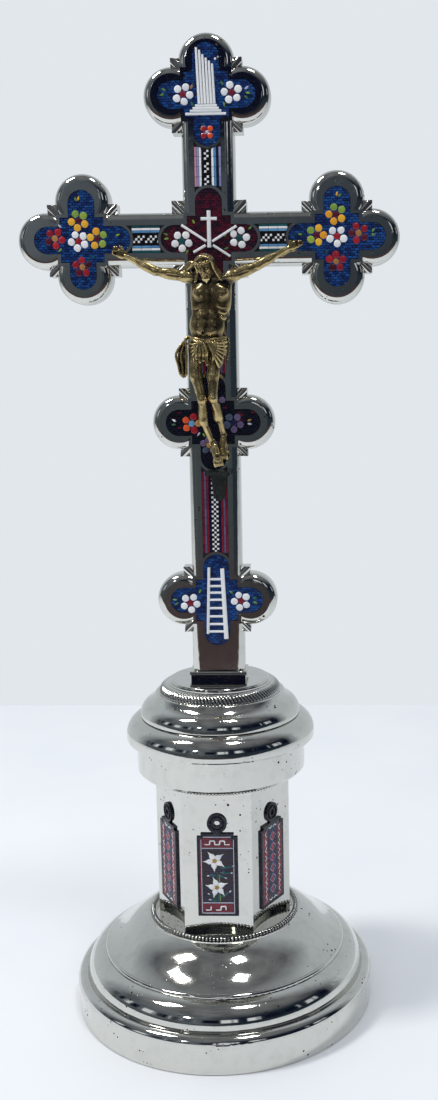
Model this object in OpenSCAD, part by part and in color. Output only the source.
// Altar cross: a nickel-plated table crucifix with micro-mosaic cells, a hexagonal drum and a spun foot.
// Millimetres, +Z up. The origin is on the table, on the axis of the foot. The front faces -Y.

/* [Foot] */
// Radius of the foot at its widest
foot_radius = 52.8; // [52:0.1:60]
// Height of the straight rim at the bottom of the foot
rim_height = 10.4; // [8:0.1:11]
// Height of the foot, up to the milled ring around the well
foot_height = 32.3; // [32:0.1:34]
// Radius of the well that the drum stands in
well_radius = 24.8; // [24.4:0.1:26]
// Depth of the well
well_depth = 1.2; // [0.8:0.1:2]
// Thickness of the felt under the foot
felt_thickness = 1.2; // [0.8:0.1:2]

/* [Drum] */
// Width of each of the six faces
face_width = 23.6; // [20:0.1:24]
// Height of the drum tube
drum_height = 54.4; // [45:0.1:70]
// Wall of the drum tube
drum_wall = 1.2; // [0.8:0.1:2]

/* [Plaques] */
// Width of a plaque
plaque_width = 13.9; // [10:0.1:16]
// Height of a plaque without its ring
plaque_height = 29.7; // [20:0.1:34]
// Height of a plaque's lower edge above the drum's lower edge
plaque_rise = 7.7; // [4:0.1:12]
// Thickness of a plaque's tray
tray_thickness = 0.7; // [0.6:0.1:1.4]

/* [Cap] */
// Radius of the cap's largest roll
cap_radius = 32.9; // [31.5:0.1:36]
// Radius of the collar under the roll
collar_radius = 29.4; // [28:0.1:30]
// Radius of the disc that the cross stands on
disc_radius = 17.3; // [14:0.1:18]

/* [Cross] */
// Height of the arms' axis above the cap
axis_rise = 148.4; // [146:0.1:150]
// From the axis to the centre of each side end
side_end_offset = 41.7; // [40:0.1:50]
// From the axis up to the centre of the top end
top_end_offset = 44.8; // [43:0.1:50]
// From the axis down to the centre of the upper medallion
upper_medallion_drop = 59.8; // [56:0.1:62]
// From the axis down to the centre of the lower medallion
lower_medallion_drop = 120.4; // [119:0.1:121]
// From the centre of an end to the tip of a lobe
lobe_reach = 20.6; // [20:0.1:21]
// From the centre of the top end to the tip of its upper lobe
top_lobe_reach = 19.4; // [19:0.1:21]
// Radius of a lobe
lobe_radius = 9.1; // [8.8:0.1:9.4]
// Width of the stem and of the arms
stem_width = 17.2; // [16:0.1:18]
// Thickness of the cross with its back plate
cross_thickness = 8.4; // [8:0.1:10]
// Width of the moulding along every edge
moulding_width = 2.8; // [2.4:0.1:3]

/* [Mosaic cells] */
// From the centre of a four-lobed cell to the tip of its lobe
cell_reach = 15.9; // [15:0.1:16]
// Half the width of a cell's lobe
cell_lobe_radius = 4.4; // [4:0.1:4.6]
// Half the width of the square in the middle of a cell
cell_square_half = 7.2; // [6.5:0.1:7.4]
// Metal left between two neighbouring cells
cell_gap = 0.9; // [0.6:0.1:1.2]
// Depth of a cell
cell_depth = 1.8; // [1.4:0.1:2]
// Thickness of the bed that fills the bottom of a cell
bed_thickness = 1.4; // [1:0.1:1.4]

/* [Tie rod] */
// Radius of the tie rod
rod_radius = 2.5; // [2:0.1:2.6]

/* [Hidden] */
$fn = 96;

eps = 0.05;
clearance = 0.1;
nickel = [0.78, 0.78, 0.76];
bronze = [0.45, 0.34, 0.18];

// Heights of the stack, from the table up.
shell_bottom = 0.3;
well_floor_z = foot_height - well_depth;
floor_thickness = 1.2;
drum_top_z = well_floor_z + drum_height;
cap_z = drum_top_z;
roll_bottom_z = cap_z + 11.3;
roll_centre_z = cap_z + 13.3;
roll_radius = 6.4;
roll_top_z = roll_centre_z + roll_radius;
dome_top_z = roll_top_z + 8.1;
band_top_z = dome_top_z + 3.2;
cap_top_z = band_top_z + 1.2;
collar_height = 3.0;
cross_foot_z = cap_top_z + collar_height;
axis_z = cap_top_z + axis_rise;
top_z = axis_z + top_end_offset;
upper_medallion_z = axis_z - upper_medallion_drop;
lower_medallion_z = axis_z - lower_medallion_drop;

// Depths through the cross, front to back.
front_y = -cross_thickness / 2;
back_plate_thickness = 1.0;
frame_depth = cross_thickness - back_plate_thickness;

// The lobes of each kind of knot: the way a lobe points and how far its tip is from the centre.
side_reaches = [[0, lobe_reach], [180, lobe_reach]];
top_reaches = [[0, lobe_reach], [90, top_lobe_reach], [180, lobe_reach]];
left_reaches = [[90, lobe_reach + 0.7], [180, lobe_reach + 1.1], [270, lobe_reach]];
right_reaches = [[0, lobe_reach], [90, lobe_reach + 0.7], [270, lobe_reach + 0.7]];
apothem = face_width * cos(30);

// ---------- shared shapes ----------

// A disc of the revolved profile between two heights, out to a circular arc.
module arc_slice(centre_r, centre_z, radius, low_z, high_z) {
    intersection() {
        translate([centre_r, centre_z]) circle(radius);
        translate([0, low_z]) square([centre_r + radius + 1, high_z - low_z]);
    }
    translate([0, low_z]) square([centre_r, high_z - low_z]);
}

// Everything right of the axis, so that a profile never crosses it.
module right_of_axis() {
    intersection() {
        children();
        translate([0, -1]) square([100, 400]);
    }
}

// A flat shape drawn in X and Z, standing from one depth back to another.
module stand_at(y, depth) {
    translate([0, y + depth, 0]) rotate([90, 0, 0]) linear_extrude(depth) children();
}

// ---------- foot ----------

module felt_pad() color([0.08, 0.10, 0.09])
    cylinder(h = felt_thickness, r = 50.2);

module foot_cover() color([0.55, 0.55, 0.55])
    translate([0, 0, felt_thickness]) difference() {
        cylinder(h = 0.8, r = 50.8);
        translate([0, 0, -1]) cylinder(h = 3, r = rod_radius + 3);
    }

// Height at which the section of the foot's dome turns from hollow to round.
dome_turn_z = 26.85;

// Outer profile of the foot: rim, bead, large roll, step, dome and the flat around the well.
module foot_outline() {
    polygon([[0, shell_bottom], [foot_radius - 0.3, shell_bottom], [foot_radius, rim_height], [0, rim_height]]);
    translate([foot_radius - 2.7, rim_height - 0.3]) circle(2.7);
    translate([0, rim_height - eps]) square([foot_radius - 3.7, 2.7]);
    arc_slice(foot_radius - 11.5, rim_height + 2.6, 7.8, rim_height + 2.6, 20.6);
    translate([0, 20]) square([42.1, 1.8]);
    translate([41.9, 21.0]) circle(0.9);
    difference() {
        translate([0, 21]) square([42, dome_turn_z - 21]);
        translate([53.85, 46.27]) circle(27);
    }
    arc_slice(17.03, 8.15, 26, dome_turn_z, 31.95);
    translate([0, 31]) square([27.5, foot_height - 31]);
}

module foot_hollow() {
    polygon([[0, -1], [50.9, -1], [50.9, 10.4], [47.6, 11.4], [47.4, 14.6], [43.6, 19.2], [40.4, 20.3],
             [36.5, 22.4], [33.1, 25.6], [30.4, 27.9], [27, well_floor_z - floor_thickness],
             [0, well_floor_z - floor_thickness]]);
}

module foot_shell() color(nickel) difference() {
    rotate_extrude() difference() {
        foot_outline();
        foot_hollow();
        translate([0, well_floor_z]) square([well_radius, 5]);
    }
    translate([0, 0, 20]) cylinder(h = 20, r = rod_radius + clearance);
}

module foot_weight() color([0.3, 0.3, 0.3]) difference() {
    translate([0, 0, 10]) cylinder(h = well_floor_z - floor_thickness - 10, r = 26.5);
    cylinder(h = 40, r = rod_radius + clearance);
}

module foot_milled_ring() color(nickel) rotate_extrude() intersection() {
    translate([well_radius + 0.9, foot_height + 0.2]) circle(0.9);
    translate([0, foot_height]) square([60, 5]);
}

// ---------- tie rod ----------

module tie_rod() color([0.6, 0.6, 0.6])
    translate([0, 0, 3.5]) cylinder(h = cross_foot_z + 6 - 3.5, r = rod_radius);

module tie_washer() color([0.6, 0.6, 0.6]) difference() {
    translate([0, 0, 8.8]) cylinder(h = 1.2, r = 7);
    cylinder(h = 20, r = rod_radius + clearance);
}

module tie_nut() color([0.6, 0.6, 0.6]) difference() {
    translate([0, 0, 4.8]) cylinder(h = 4, r = 4.6, $fn = 6);
    cylinder(h = 20, r = rod_radius);
}

// ---------- drum ----------

module hexagon_bar(across_corner, height) {
    cylinder(h = height, r = across_corner, $fn = 6);
}

module drum_tube() color(nickel) translate([0, 0, well_floor_z]) difference() {
    hexagon_bar(face_width, drum_height);
    translate([0, 0, -1]) hexagon_bar(face_width - drum_wall / cos(30), drum_height + 2);
}

module drum_milled_ring() color(nickel) translate([0, 0, cap_z - 2.0]) difference() {
    rotate_extrude() {
        square([25.2, 2.0]);
        translate([25.0, 1.0]) circle(0.95);
    }
    translate([0, 0, -1]) hexagon_bar(face_width + clearance, 5);
}

// ---------- plaques ----------

plaque_shoulder_drop = 1.2;
plaque_neck_width = 11.2;
plaque_ring_radius = 3.4;
plaque_ring_rise = 3.5;
plaque_rim = 0.7;

// Outline of a plaque: a tall rectangle with cut shoulders, smaller all round by the inset.
module plaque_outline(inset) {
    translate([-plaque_width / 2 + inset, inset])
        square([plaque_width - 2 * inset, plaque_height - plaque_shoulder_drop - 2 * inset]);
    translate([-plaque_neck_width / 2 + inset, plaque_height - 3 * plaque_shoulder_drop])
        square([plaque_neck_width - 2 * inset, 3 * plaque_shoulder_drop - inset]);
}

// Places a plaque, drawn in X and Z and facing -Y, on one of the six faces.
module on_face(index) {
    rotate([0, 0, 60 * (index - 1)])
        translate([0, -apothem, well_floor_z + plaque_rise]) children();
}

module plaque_tray(index) color([0.25, 0.25, 0.28]) on_face(index) difference() {
    stand_at(-tray_thickness, tray_thickness) {
        plaque_outline(0);
        translate([0, plaque_height + plaque_ring_rise]) circle(plaque_ring_radius);
        translate([-1.2, plaque_height - 0.5]) square([2.4, 2]);
    }
    stand_at(-tray_thickness - 1, 1.4) plaque_outline(plaque_rim);
    stand_at(-tray_thickness - 1, 3) translate([0, plaque_height + plaque_ring_rise]) circle(1.0);
}

module plaque_mosaic(index) color([0.25, 0.1, 0.2]) on_face(index)
    stand_at(-tray_thickness + 0.1, 0.3) plaque_outline(plaque_rim);

// ---------- cap ----------

module cap_floor() color(nickel) difference() {
    translate([0, 0, cap_z]) cylinder(h = 1.4, r = collar_radius - 1.2);
    cylinder(h = 200, r = rod_radius + clearance);
}

module cap_collar() color(nickel) rotate_extrude() difference() {
    union() {
        polygon([[0, cap_z + 0.6], [collar_radius - 0.6, cap_z], [collar_radius, cap_z + 0.8],
                 [collar_radius, roll_bottom_z], [cap_radius - 0.3, roll_bottom_z + 0.1],
                 [cap_radius, roll_bottom_z + 0.6], [cap_radius, roll_centre_z], [0, roll_centre_z]]);
        arc_slice(cap_radius - roll_radius, roll_centre_z, roll_radius, roll_centre_z - eps, roll_top_z);
    }
    translate([0, cap_z - 1]) square([collar_radius - 1.2, roll_centre_z - cap_z + 3]);
    translate([0, cap_z + 10]) square([rod_radius + clearance, 20]);
}

module cap_dome() color(nickel) rotate_extrude() difference() {
    union() {
        translate([0, roll_top_z]) square([27.7, 0.7]);
        arc_slice(22.4, roll_top_z + 0.3, 5.5, roll_top_z + 0.3, roll_top_z + 5.06);
        difference() {
            translate([0, roll_top_z + 5]) square([25.2, dome_top_z - roll_top_z - 5.3]);
            translate([28.9, roll_top_z + 11.56]) circle(7.5);
        }
        translate([21.6, dome_top_z - 0.7]) circle(0.7);
        translate([0, dome_top_z - 1]) square([21.6, 1]);
    }
    translate([0, roll_top_z - 1]) square([14, 6]);
    translate([0, roll_top_z]) square([rod_radius + clearance, 20]);
}

// Section of the milled band: part of a circle, round from the dome up to the disc.
band_centre_r = 17.8;
band_radius = 3.45;

module cap_milled_band() color(nickel) translate([0, 0, dome_top_z]) difference() {
    rotate_extrude() intersection() {
        translate([band_centre_r, -0.2]) circle(band_radius);
        square([30, band_top_z - dome_top_z]);
    }
    translate([0, 0, -1]) cylinder(h = 9, r = rod_radius + clearance);
}

module cap_disc() color(nickel) rotate_extrude() difference() {
    union() {
        translate([0, band_top_z]) square([disc_radius - 0.6, cap_top_z - band_top_z]);
        translate([disc_radius - 0.6, band_top_z + 0.6]) circle(0.6);
        translate([0, band_top_z]) square([18.2, 0.4]);
    }
    translate([0, band_top_z - 1]) square([rod_radius + clearance, 9]);
}

// ---------- cross ----------

quirk_depth = 0.4;
quirk_width = 0.35;
moulding_drop = 3.0;
flat_square_half = 8.3;

// Half of the section across a stem or a lobe: x outwards, y from the back to the front.
module half_section(half_width) {
    flat_half = half_width - moulding_width;
    shoulder = frame_depth - moulding_drop;
    square([flat_half, frame_depth]);
    square([half_width, shoulder]);
    square([flat_half + quirk_width, frame_depth - quirk_depth]);
    intersection() {
        translate([half_width - moulding_width, shoulder - 0.2]) circle(moulding_width);
        translate([0, shoulder - eps]) square([half_width, moulding_drop - quirk_depth + eps]);
    }
}

// One round lobe, drawn in X and Y with its front at the top.
module lobe() {
    rotate_extrude() half_section(lobe_radius);
}

// A straight run of the frame between two points on the X axis.
module run(length, width) {
    rotate([90, 0, 90]) linear_extrude(length) {
        half_section(width / 2);
        mirror([1, 0]) half_section(width / 2);
    }
}

// Three ridges that point out of an inner corner, toward the corner of a square.
module fluted_corner(half) {
    intersection() {
        translate([half / 2 + 1, half / 2 + 1, 2]) cube([half - 2, half - 2, 9], center = true);
        rotate([0, 0, 45]) for (side = [-1, 0, 1])
            translate([4, side * 2.1, frame_depth - moulding_drop + 0.2 - abs(side) * 0.5]) rotate([0, 90, 0])
                cylinder(h = 16, r = 1.5, $fn = 24);
    }
    linear_extrude(frame_depth - moulding_drop) square(half);
}

module four_corners(half) {
    for (turn = [0:90:270]) rotate([0, 0, turn]) fluted_corner(half);
}

// An end or a medallion: a square with fluted corners and a lobe for each pair of angle and reach.
module knot(lobes, corner_half) {
    translate([-flat_square_half, -flat_square_half, 0])
        cube([2 * flat_square_half, 2 * flat_square_half, frame_depth]);
    four_corners(corner_half);
    for (place = lobes) rotate([0, 0, place[0]]) translate([place[1] - lobe_radius, 0, 0]) lobe();
}

// Turns a shape drawn in X and Y, with its front up, to stand in X and Z with its front at -Y.
module stand_up() {
    translate([0, front_y + frame_depth, 0]) rotate([90, 0, 0]) children();
}

module cross_solid() {
    foot_run = lower_medallion_z - cross_foot_z;
    translate([0, cross_foot_z]) rotate([0, 0, 90]) run(foot_run, stem_width + 0.8);
    translate([0, lower_medallion_z]) rotate([0, 0, 90]) run(top_z - lower_medallion_z, stem_width);
    translate([-side_end_offset, axis_z]) run(2 * side_end_offset, stem_width);
    translate([0, axis_z]) knot([], 12.2);
    translate([0, top_z]) knot(top_reaches, 11.5);
    translate([-side_end_offset, axis_z]) knot(left_reaches, 11.5);
    translate([side_end_offset, axis_z]) knot(right_reaches, 11.5);
    translate([0, upper_medallion_z]) knot(side_reaches, 11.4);
    translate([0, lower_medallion_z]) knot(side_reaches, 11.4);
}

// A four-lobed cell, larger all round by grow.
module cell_shape(grow) {
    square(2 * (cell_square_half + grow), center = true);
    for (turn = [0:90:270]) rotate(turn) {
        translate([0, -cell_lobe_radius - grow])
            square([cell_reach - cell_lobe_radius, 2 * (cell_lobe_radius + grow)]);
        translate([cell_reach - cell_lobe_radius, 0]) circle(cell_lobe_radius + grow, $fn = 64);
    }
}

// The strip cell between two four-lobed cells, drawn along X from the first centre.
module strip_shape(length) {
    difference() {
        translate([0, -cell_lobe_radius]) square([length, 2 * cell_lobe_radius]);
        cell_shape(cell_gap);
        translate([length, 0]) cell_shape(cell_gap);
    }
}

cell_places = [
    [0, top_z], [-side_end_offset, axis_z], [side_end_offset, axis_z],
    [0, axis_z], [0, upper_medallion_z], [0, lower_medallion_z]
];

cell_lobes = [top_reaches, left_reaches, right_reaches, [], side_reaches, side_reaches];

// Each strip: where it starts, the way it runs and its length between the centres of two cells.
strip_runs = [
    [[0, axis_z], 90, top_z - axis_z],
    [[0, axis_z], 180, side_end_offset],
    [[0, axis_z], 0, side_end_offset],
    [[0, axis_z], 270, upper_medallion_drop],
    [[0, upper_medallion_z], 270, upper_medallion_z - lower_medallion_z]
];

module strip_at(index) {
    place = strip_runs[index];
    translate(place[0]) rotate(place[1]) strip_shape(place[2]);
}

module cross_frame() color(nickel) difference() {
    stand_up() cross_solid();
    stand_at(front_y - 1, 1 + cell_depth) {
        for (place = cell_places) translate(place) cell_shape(0);
        for (index = [0:4]) strip_at(index);
    }
    translate([0, 0, cross_foot_z - 1]) cylinder(h = 8, r = rod_radius);
}

module cross_back_plate() color(nickel) {
    inset = 0.5;
    stand_at(front_y + frame_depth, back_plate_thickness) {
        translate([-stem_width / 2 + inset, cross_foot_z])
            square([stem_width - 2 * inset, top_z - cross_foot_z]);
        translate([-side_end_offset, axis_z - stem_width / 2 + inset])
            square([2 * side_end_offset, stem_width - 2 * inset]);
        for (place = cell_places) translate(place) square(2 * (10 - inset), center = true);
        for (index = [0:5], lobe = cell_lobes[index])
            translate(cell_places[index]) rotate(lobe[0])
                translate([lobe[1] - lobe_radius, 0]) circle(lobe_radius - inset);
    }
}

module cross_collar() color(nickel) difference() {
    translate([-9.4, -5.0, cap_top_z]) cube([18.8, 10, 1.7]);
    translate([0, 0, cap_top_z - 1]) cylinder(h = 9, r = rod_radius + clearance);
}

module cross_collar_lip() color(nickel) translate([0, 0, cap_top_z + 1.7]) difference() {
    thickness = collar_height - 1.7;
    round = thickness / 2;
    union() {
        translate([-9.8, -5.4 + round, 0]) cube([19.6, 10.8 - thickness, thickness]);
        for (side = [-1, 1])
            translate([-9.8, side * (5.4 - round), round]) rotate([0, 90, 0]) cylinder(h = 19.6, r = round);
    }
    translate([0, 0, -1]) cylinder(h = 9, r = rod_radius + clearance);
}

module cell_bed(index, tint) color(tint)
    stand_at(front_y + cell_depth - bed_thickness, bed_thickness)
        translate(cell_places[index]) cell_shape(-eps);

module strip_bed(index, tint) color(tint)
    stand_at(front_y + cell_depth - bed_thickness, bed_thickness)
        intersection() {
            strip_at(index);
            translate([-60, 0]) square([120, 400]);
        }

blue = [0.05, 0.15, 0.45];
plum = [0.18, 0.04, 0.15];

// ---------- corpus ----------

// Places along the figure. Left and right are the viewer's.
head = [-1.6, -12.6, 256.6];
neck = [-0.4, -9.6, 252.8];
chest = [-0.2, -9.6, 246.6];
waist = [-0.4, -9.2, 237.2];
hips = [-0.8, -9.6, 230.6];
shoulders = [[-6.6, -8.9, 254.6], [6.4, -8.9, 254.4]];
elbows = [[-17.0, -7.8, 256.4], [15.8, -7.8, 256.8]];
wrists = [[-26.8, -6.6, 261.4], [26.4, -6.6, 262.4]];
hands = [[-30.2, -6.0, 262.8], [29.8, -6.0, 263.8]];
knees = [[-2.6, -12.8, 214.6], [1.4, -12.4, 215.4]];
ankles = [[1.0, -8.2, 199.2], [2.6, -7.4, 200.6]];
toes = [[1.6, -10.8, 192.0], [3.0, -9.6, 192.4]];

module ball(place, radius) {
    translate(place) sphere(radius, $fn = 20);
}

// A limb between two places, with its own radius at each.
module limb(from, to, from_radius, to_radius) {
    hull() {
        ball(from, from_radius);
        ball(to, to_radius);
    }
}

module corpus() color(bronze) {
    hull() {
        ball(head, 3.5);
        ball(head + [0.2, -1.4, -2.6], 2.4);
    }
    limb(neck, head, 2.2, 2.0);
    hull() {
        ball(chest + [-3.6, 0, 2], 3.6);
        ball(chest + [3.6, 0, 2], 3.6);
        ball(shoulders[0], 2.2);
        ball(shoulders[1], 2.2);
        ball(waist + [-2.2, 0, 0], 3.0);
        ball(waist + [2.2, 0, 0], 3.0);
    }
    hull() {
        ball(waist + [-2.0, 0, 0], 3.0);
        ball(waist + [2.0, 0, 0], 3.0);
        ball(hips + [-2.8, 0, 0], 3.9);
        ball(hips + [2.8, 0, 0], 3.9);
    }
    for (side = [0, 1]) {
        limb(shoulders[side], elbows[side], 2.1, 1.6);
        limb(elbows[side], wrists[side], 1.6, 1.0);
        limb(wrists[side], hands[side], 1.0, 1.3);
        limb(hips + [side * 5 - 2.6, 0, -1], knees[side], 3.5, 2.2);
        limb(knees[side], ankles[side], 2.2, 1.2);
        limb(ankles[side], toes[side], 1.3, 1.0);
    }
    limb(hips + [-6.0, 0.4, -1], hips + [-7.4, 0.4, -9], 1.8, 1.2);
}

// Sloping step under the feet, on a tapered bracket against the stem.
rest_top_z = 190.4;

module foot_rest() color(bronze) {
    translate([-2.3, -11.8, rest_top_z - 1.4]) cube([8.2, 11.8 + front_y, 1.4]);
    translate([1.8, front_y, rest_top_z - 1.4]) rotate([90, 0, 0]) linear_extrude(2.4) {
        polygon([[-2.8, 0], [2.8, 0], [1.9, -7], [-1.9, -7]]);
        translate([0, -6.8]) circle(1.9);
    }
}

// A nail along Y, its head at the front.
module nail(x, z, head_y, length) color(bronze) {
    translate([x, head_y, z]) rotate([-90, 0, 0]) {
        cylinder(h = 0.7, r = 1.0, $fn = 32);
        cylinder(h = length, r = 0.45, $fn = 32);
    }
}

felt_pad();
foot_cover();
foot_shell();
foot_weight();
tie_rod();
tie_washer();
tie_nut();
foot_milled_ring();
drum_tube();
plaque_tray(1);  // plaque_tray_1
plaque_tray(2);  // plaque_tray_2
plaque_tray(3);  // plaque_tray_3
plaque_tray(4);  // plaque_tray_4
plaque_tray(5);  // plaque_tray_5
plaque_tray(6);  // plaque_tray_6
plaque_mosaic(1);  // plaque_mosaic_1
plaque_mosaic(2);  // plaque_mosaic_2
plaque_mosaic(3);  // plaque_mosaic_3
plaque_mosaic(4);  // plaque_mosaic_4
plaque_mosaic(5);  // plaque_mosaic_5
plaque_mosaic(6);  // plaque_mosaic_6
drum_milled_ring();
cap_floor();
cap_collar();
cap_dome();
cap_milled_band();
cap_disc();
cross_collar();
cross_collar_lip();
cross_frame();
cross_back_plate();
cell_bed(0, blue);  // mosaic_top_end
cell_bed(1, blue);  // mosaic_left_end
cell_bed(2, blue);  // mosaic_right_end
cell_bed(3, plum);  // mosaic_centre
cell_bed(4, blue);  // mosaic_upper_medallion
cell_bed(5, blue);  // mosaic_lower_medallion
strip_bed(0, plum);  // mosaic_upper_strip
strip_bed(1, blue);  // mosaic_left_strip
strip_bed(2, blue);  // mosaic_right_strip
strip_bed(3, plum);  // mosaic_middle_strip
strip_bed(4, plum);  // mosaic_long_strip
corpus();
foot_rest();
nail(hands[0].x, hands[0].z, -8.0, 6);  // left_hand_nail
nail(hands[1].x, hands[1].z, -8.0, 6);  // right_hand_nail
nail(2.0, 195.6, -12.6, 9);  // foot_nail
